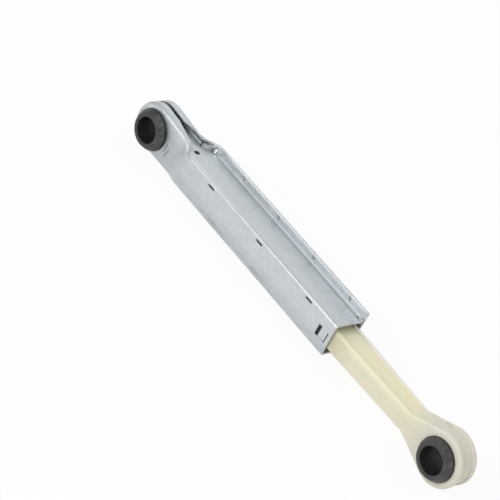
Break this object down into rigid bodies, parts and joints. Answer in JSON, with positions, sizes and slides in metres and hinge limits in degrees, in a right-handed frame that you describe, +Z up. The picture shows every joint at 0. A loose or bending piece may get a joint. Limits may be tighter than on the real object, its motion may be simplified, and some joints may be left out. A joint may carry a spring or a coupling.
{
  "type": "washing machine shock absorber",
  "caption": "Friction damper with a folded sheet-steel housing, a sliding moulded rod and a flanged rubber bush in the eye at each end, for the drum suspension of a washing machine.",
  "frame": {"origin": "middle of the bush bore in the housing's ears", "axes": "+X along the damper to the rod's eye, +Y along the bores towards the side with the seam flange, +Z up to the housing's top web"},
  "size_m": [0.2686, 0.0212, 0.029],
  "materials": {
    "sheet_steel": "galvanised, satin",
    "bush_rubber": "matt moulded",
    "liner_plastic": "moulded, black",
    "pad_felt": "greased felt",
    "rod_nylon": "natural nylon, satin"
  },
  "bodies": {
    "housing": {"housing": "sheet_steel", "housing_bush": "bush_rubber", "liner_upper": "liner_plastic", "liner_lower": "liner_plastic", "pad_upper": "pad_felt", "pad_lower": "pad_felt"},
    "rod": {"rod": "rod_nylon", "rod_bush": "bush_rubber"}
  },
  "joints": [
    {"name": "rod_slide", "type": "slide", "parent": "housing", "child": "rod", "axis": [1, 0, 0], "range_m": [-0.062, 0.01]}
  ]
}
